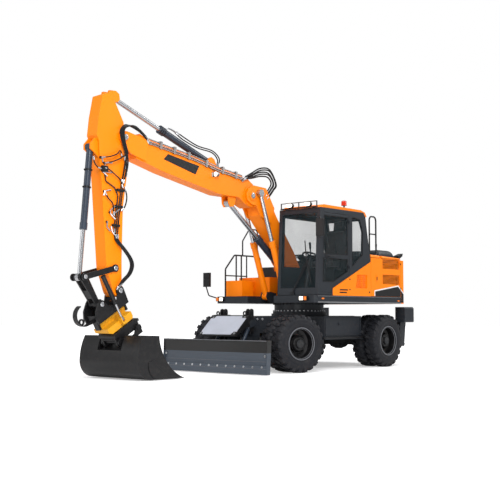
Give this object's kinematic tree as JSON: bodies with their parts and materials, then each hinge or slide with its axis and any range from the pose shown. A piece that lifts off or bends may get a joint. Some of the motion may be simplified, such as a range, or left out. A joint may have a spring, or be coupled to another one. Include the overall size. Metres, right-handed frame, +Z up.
{
  "type": "wheeled excavator",
  "caption": "Wheeled excavator with twin tyres, two-piece boom, front blade, rear outriggers and a tilting, turning grading bucket.",
  "frame": {"origin": "on the ground under the middle of the whole machine's bounding box", "axes": "+X forward towards the bucket, +Y to the machine's left, +Z up"},
  "size_m": [7.8645, 2.735, 4.69],
  "materials": {
    "orange": "satin paint",
    "charcoal": "satin paint",
    "frame_grey": "satin paint",
    "cover_grey": "satin paint",
    "black_paint": "satin paint",
    "barrel_blue": "satin paint",
    "gold": "satin paint",
    "chrome": "polished",
    "cast": "rough",
    "tread": "matt",
    "pane": "clear",
    "cloth": "woven",
    "plastic": "matt",
    "lamp": "gloss"
  },
  "bodies": {
    "chassis": {"chassis": "frame_grey", "front_cover": "cover_grey", "front_axle": "cast", "rear_axle": "cast"},
    "knuckle_left": {"knuckle_left": "cast"},
    "knuckle_right": {"knuckle_right": "cast"},
    "wheels_front_left": {"tyres_front_left": "tread", "rims_front_left": "black_paint"},
    "wheels_front_right": {"tyres_front_right": "tread", "rims_front_right": "black_paint"},
    "wheels_rear_left": {"tyres_rear_left": "tread", "rims_rear_left": "black_paint"},
    "wheels_rear_right": {"tyres_rear_right": "tread", "rims_rear_right": "black_paint"},
    "blade_arms": {"blade_arms": "frame_grey"},
    "blade": {"blade": "frame_grey"},
    "blade_links": {"blade_links": "frame_grey"},
    "blade_barrels": {"blade_barrels": "barrel_blue"},
    "blade_rods": {"blade_rods": "chrome"},
    "outrigger_left": {"outrigger_left": "frame_grey"},
    "outrigger_right": {"outrigger_right": "frame_grey"},
    "house": {"deck": "charcoal", "counterweight": "charcoal", "engine_frame": "black_paint", "engine_block": "cast", "cab_shell": "charcoal", "cab_roof": "orange", "cab_glass": "pane", "seat": "cloth", "controls": "plastic", "lamps": "lamp", "side_panels": "orange", "handrails": "black_paint"},
    "cab_door": {"cab_door": "charcoal", "door_glass": "pane"},
    "service_door_left": {"service_door_left": "orange"},
    "service_door_right": {"service_door_right": "orange"},
    "engine_hood": {"engine_hood": "charcoal"},
    "lower_boom": {"lower_boom": "orange"},
    "lift_barrels": {"lift_barrels": "orange"},
    "lift_rods": {"lift_rods": "chrome"},
    "upper_boom": {"upper_boom": "orange", "boom_lines": "chrome"},
    "position_barrel": {"position_barrel": "barrel_blue"},
    "position_rod": {"position_rod": "chrome"},
    "arm": {"arm": "orange", "arm_lines": "black_paint"},
    "arm_barrel": {"arm_barrel": "barrel_blue"},
    "arm_rod": {"arm_rod": "chrome"},
    "bucket_barrel": {"bucket_barrel": "barrel_blue"},
    "bucket_rod": {"bucket_rod": "chrome"},
    "rockers": {"rockers": "black_paint"},
    "bucket_link": {"bucket_link": "black_paint"},
    "coupler": {"coupler": "black_paint", "tilt_barrels": "black_paint"},
    "tilt_rod_left": {"tilt_rod_left": "chrome"},
    "tilt_rod_right": {"tilt_rod_right": "chrome"},
    "tilt_frame": {"tilt_frame": "gold"},
    "tool": {"rotator": "black_paint", "bucket": "black_paint"}
  },
  "joints": [
    {"name": "steer_left", "type": "hinge", "parent": "chassis", "child": "knuckle_left", "pos_m": [-0.31, 0.585, 0.521], "axis": [0, 0, 1], "range_deg": [-16, 44]},
    {"name": "steer_right", "type": "hinge", "parent": "chassis", "child": "knuckle_right", "pos_m": [-0.31, -0.585, 0.521], "axis": [0, 0, 1], "range_deg": [-17, 45]},
    {"name": "spin_front_left", "type": "hinge", "parent": "knuckle_left", "child": "wheels_front_left", "pos_m": [-0.31, 0.585, 0.521], "axis": [0.2419, 0.9703, 0], "continuous": true},
    {"name": "spin_front_right", "type": "hinge", "parent": "knuckle_right", "child": "wheels_front_right", "pos_m": [-0.31, -0.585, 0.521], "axis": [0.2419, 0.9703, 0], "continuous": true},
    {"name": "spin_rear_left", "type": "hinge", "parent": "chassis", "child": "wheels_rear_left", "pos_m": [-2.94, 1.113, 0.521], "axis": [0, 1, 0], "continuous": true},
    {"name": "spin_rear_right", "type": "hinge", "parent": "chassis", "child": "wheels_rear_right", "pos_m": [-2.94, -1.113, 0.521], "axis": [0, 1, 0], "continuous": true},
    {"name": "blade_lift", "type": "hinge", "parent": "chassis", "child": "blade_arms", "pos_m": [0.19, 0, 0.4], "axis": [0, -1, 0], "range_deg": [-4, 25]},
    {"name": "blade_level", "type": "hinge", "parent": "blade_arms", "child": "blade", "pos_m": [0.72, 0, 0.15], "axis": [0, -1, 0], "range_deg": [-26, 5]},
    {"name": "blade_link_turn", "type": "hinge", "parent": "chassis", "child": "blade_links", "pos_m": [0.19, 0, 0.565], "axis": [0, -1, 0], "range_deg": [-5, 26]},
    {"name": "blade_cylinder_swing", "type": "hinge", "parent": "chassis", "child": "blade_barrels", "pos_m": [0.24, 0, 0.88], "axis": [0, 1, 0], "range_deg": [-11.15, 2.62]},
    {"name": "blade_cylinder_stroke", "type": "slide", "parent": "blade_barrels", "child": "blade_rods", "axis": [0.5057, 0, -0.8627], "range_m": [-0.1419, 0.0269]},
    {"name": "outrigger_left_swing", "type": "hinge", "parent": "chassis", "child": "outrigger_left", "pos_m": [-3.76, 0.975, 0.43], "axis": [-1, 0, 0], "range_deg": [0, 104]},
    {"name": "outrigger_right_swing", "type": "hinge", "parent": "chassis", "child": "outrigger_right", "pos_m": [-3.76, -0.975, 0.43], "axis": [1, 0, 0], "range_deg": [0, 104]},
    {"name": "slew", "type": "hinge", "parent": "chassis", "child": "house", "pos_m": [-1.61, 0, 1.11], "axis": [0, 0, 1], "continuous": true},
    {"name": "cab_door_swing", "type": "hinge", "parent": "house", "child": "cab_door", "pos_m": [-1.588, 1.256, 2.2], "axis": [0, 0, 1], "range_deg": [0, 100]},
    {"name": "service_left_swing", "type": "hinge", "parent": "house", "child": "service_door_left", "pos_m": [-3.396, 1.248, 1.78], "axis": [0, 0, 1], "range_deg": [0, 100]},
    {"name": "service_right_swing", "type": "hinge", "parent": "house", "child": "service_door_right", "pos_m": [-3.396, -1.248, 1.78], "axis": [0, 0, -1], "range_deg": [0, 100]},
    {"name": "hood_swing", "type": "hinge", "parent": "house", "child": "engine_hood", "pos_m": [-2.654, 0, 2.179], "axis": [0, 1, 0], "range_deg": [0, 55]},
    {"name": "boom_swing", "type": "hinge", "parent": "house", "child": "lower_boom", "pos_m": [-1.53, -0.07, 1.72], "axis": [0, 1, 0], "range_deg": [-18, 24]},
    {"name": "lift_cylinder_swing", "type": "hinge", "parent": "house", "child": "lift_barrels", "pos_m": [-0.96, -0.07, 1.4], "axis": [0, 1, 0], "range_deg": [-18.53, 24.37]},
    {"name": "lift_cylinder_stroke", "type": "slide", "parent": "lift_barrels", "child": "lift_rods", "axis": [0.3495, 0, 0.9369], "range_m": [-0.2719, 0.2052]},
    {"name": "upper_boom_swing", "type": "hinge", "parent": "lower_boom", "child": "upper_boom", "pos_m": [-0.07, -0.07, 3.27], "axis": [0, -1, 0], "range_deg": [-35, 35]},
    {"name": "position_cylinder_swing", "type": "hinge", "parent": "lower_boom", "child": "position_barrel", "pos_m": [-1.13, -0.07, 1.96], "axis": [0, 1, 0], "range_deg": [-5.56, 5.56]},
    {"name": "position_cylinder_stroke", "type": "slide", "parent": "position_barrel", "child": "position_rod", "axis": [0.7975, 0, 0.6034], "range_m": [-0.2424, 0.2424]},
    {"name": "arm_swing", "type": "hinge", "parent": "upper_boom", "child": "arm", "pos_m": [3.07, -0.07, 3.94], "axis": [0, 1, 0], "range_deg": [-75, 8]},
    {"name": "arm_cylinder_swing", "type": "hinge", "parent": "upper_boom", "child": "arm_barrel", "pos_m": [0.95, -0.07, 3.8], "axis": [0, 1, 0], "range_deg": [-1.93, 1.1]},
    {"name": "arm_cylinder_stroke", "type": "slide", "parent": "arm_barrel", "child": "arm_rod", "axis": [0.9431, 0, 0.3324], "range_m": [-0.8366, 0.0937]},
    {"name": "bucket_curl", "type": "hinge", "parent": "arm", "child": "coupler", "pos_m": [3.14, -0.07, 1.432], "axis": [0, 1, 0], "range_deg": [-50, 50]},
    {"name": "rocker_swing", "type": "hinge", "parent": "arm", "child": "rockers", "pos_m": [3.23, -0.07, 1.79], "axis": [0, 1, 0], "range_deg": [-37.63, 37.63]},
    {"name": "link_swing", "type": "hinge", "parent": "rockers", "child": "bucket_link", "pos_m": [3.845, -0.07, 1.632], "axis": [0, 1, 0], "range_deg": [-24.45, 24.45]},
    {"name": "bucket_cylinder_swing", "type": "hinge", "parent": "arm", "child": "bucket_barrel", "pos_m": [3.66, -0.07, 3.72], "axis": [0, 1, 0], "range_deg": [-3.72, 3.72]},
    {"name": "bucket_cylinder_stroke", "type": "slide", "parent": "bucket_barrel", "child": "bucket_rod", "axis": [0.0883, 0, -0.9961], "range_m": [-0.3713, 0.3713]},
    {"name": "tool_tilt", "type": "hinge", "parent": "coupler", "child": "tilt_frame", "pos_m": [3.15346, -0.07, 1.02725], "axis": [0.8572, 0, -0.515], "range_deg": [-30, 30]},
    {"name": "tilt_left_stroke", "type": "slide", "parent": "coupler", "child": "tilt_rod_left", "axis": [0.515, 0, 0.8572], "range_m": [-0.1103, 0.1103]},
    {"name": "tilt_right_stroke", "type": "slide", "parent": "coupler", "child": "tilt_rod_right", "axis": [0.515, 0, 0.8572], "range_m": [-0.1103, 0.1103]},
    {"name": "tool_turn", "type": "hinge", "parent": "tilt_frame", "child": "tool", "pos_m": [3.04016, -0.07, 0.83868], "axis": [0.515, 0, 0.8572], "continuous": true}
  ],
  "couplings": [
    {"joint": "steer_right", "follows": "steer_left", "ratio": 1},
    {"joint": "blade_level", "follows": "blade_lift", "ratio": -1},
    {"joint": "blade_link_turn", "follows": "blade_lift", "ratio": 1},
    {"joint": "blade_cylinder_swing", "follows": "blade_lift", "ratio": -0.40603},
    {"joint": "blade_cylinder_stroke", "follows": "blade_lift", "m_per_rad": -0.31383},
    {"joint": "lift_cylinder_swing", "follows": "boom_swing", "ratio": 0.97372},
    {"joint": "lift_cylinder_stroke", "follows": "boom_swing", "m_per_rad": -0.63726},
    {"joint": "position_cylinder_swing", "follows": "upper_boom_swing", "ratio": -0.13024},
    {"joint": "position_cylinder_stroke", "follows": "upper_boom_swing", "m_per_rad": 0.38864},
    {"joint": "arm_cylinder_swing", "follows": "arm_swing", "ratio": 0.012388},
    {"joint": "arm_cylinder_stroke", "follows": "arm_swing", "m_per_rad": 0.63531},
    {"joint": "rocker_swing", "follows": "bucket_curl", "ratio": 0.73264},
    {"joint": "link_swing", "follows": "bucket_curl", "ratio": -0.46906},
    {"joint": "bucket_cylinder_swing", "follows": "bucket_curl", "ratio": 0.054321},
    {"joint": "bucket_cylinder_stroke", "follows": "bucket_curl", "m_per_rad": 0.41974},
    {"joint": "tilt_left_stroke", "follows": "tool_tilt", "m_per_rad": 0.205},
    {"joint": "tilt_right_stroke", "follows": "tool_tilt", "m_per_rad": -0.205}
  ]
}
